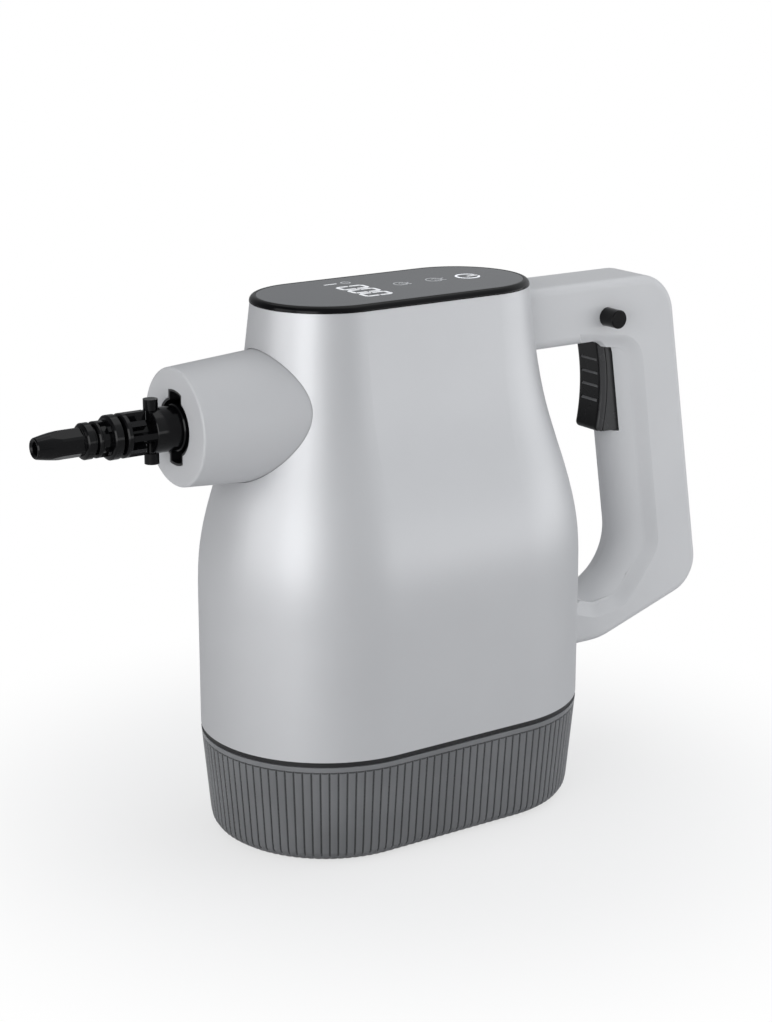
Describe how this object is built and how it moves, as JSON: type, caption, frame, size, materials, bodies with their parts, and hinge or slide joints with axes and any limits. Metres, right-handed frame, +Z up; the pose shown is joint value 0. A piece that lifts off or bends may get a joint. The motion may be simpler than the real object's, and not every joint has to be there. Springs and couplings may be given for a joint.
{
  "type": "wallpaper steamer",
  "caption": "Hand-held steamer for loosening wallpaper: upright boiler casing over a clear water tank, loop handle with trigger, pull-out bayonet jet nozzle and a flat control panel.",
  "frame": {"origin": "centre of the water tank's flat base, on the floor", "axes": "+Z up, +X from the jet nozzle towards the handle, +Y across, away from the lock button's proud end"},
  "size_m": [0.3583, 0.118, 0.2511],
  "materials": {
    "silver_casing": "metallic silver lacquer, satin",
    "grey_shell": "fine matte",
    "black_gloss": "gloss",
    "black_satin": "satin",
    "steel": "plated",
    "aluminium": "as cast",
    "rubber": "matte",
    "brass": "turned",
    "tank_smoke": "clear smoke grey",
    "frame_plastic": "moulded",
    "board_green": "lacquered board",
    "glass_black": "gloss",
    "white_plastic": "moulded"
  },
  "bodies": {
    "housing": {"body_casing": "silver_casing", "control_panel_bezel": "black_satin", "panel_window": "glass_black", "control_board": "board_green", "panel_screws": "steel", "display_module": "white_plastic", "touch_pads": "steel", "nose_shroud": "grey_shell", "steam_socket": "black_satin", "outlet_seal": "rubber", "socket_screws": "steel", "steam_pipe": "steel", "base_deck": "black_satin", "tank_gasket": "rubber", "chassis_screws": "steel", "chassis_frame": "frame_plastic", "nose_screws": "steel", "pump_bracket": "steel", "pump_mounts": "rubber", "pump_body": "black_satin", "pump_head": "brass", "check_valve": "white_plastic", "intake_hose": "rubber", "feed_hose": "rubber", "intake_tube": "white_plastic", "intake_filter": "white_plastic", "boiler_body": "aluminium", "boiler_cover": "aluminium", "boiler_screws": "steel", "heater_elements": "steel", "heater_terminals": "brass", "boiler_bracket": "steel", "thermostat": "steel", "thermal_fuse": "white_plastic", "fuse_clip": "steel", "handle_left": "grey_shell", "handle_right": "grey_shell", "handle_screws": "steel", "tenon_screws": "steel", "trigger_pin": "steel", "trigger_spring": "steel", "microswitch": "black_satin", "lock_detent": "steel", "cord_gland": "black_satin", "cord_clamp": "white_plastic", "terminal_block": "white_plastic", "mains_loom": "rubber", "switch_loom": "rubber"},
    "tank": {"water_tank": "tank_smoke"},
    "nozzle": {"nozzle_tip": "black_gloss", "nozzle_body": "black_gloss", "nozzle_stem": "black_gloss", "bayonet_pins": "black_gloss"},
    "trigger": {"trigger": "black_gloss"},
    "plunger": {"switch_plunger": "white_plastic"},
    "lock": {"lock_button": "black_gloss"}
  },
  "joints": [
    {"name": "tank_pull", "type": "slide", "parent": "housing", "child": "tank", "axis": [0, 0, -1], "range_m": [0, 0.062]},
    {"name": "nozzle_slide", "type": "slide", "parent": "housing", "child": "nozzle", "axis": [1, 0, 0], "range_m": [0, 0.02]},
    {"name": "trigger_pull", "type": "hinge", "parent": "housing", "child": "trigger", "pos_m": [0.1215, 0, 0.218], "axis": [0, -1, 0], "range_deg": [0, 8], "stiffness_Nm_per_rad": 1.2, "springref_deg": -14.32},
    {"name": "plunger_slide", "type": "slide", "parent": "housing", "child": "plunger", "axis": [1, 0, 0], "range_m": [0, 0.0042]},
    {"name": "lock_slide", "type": "slide", "parent": "housing", "child": "lock", "axis": [0, 1, 0], "range_m": [0, 0.0083]}
  ],
  "couplings": [
    {"joint": "plunger_slide", "follows": "trigger_pull", "m_per_rad": 0.0292}
  ]
}
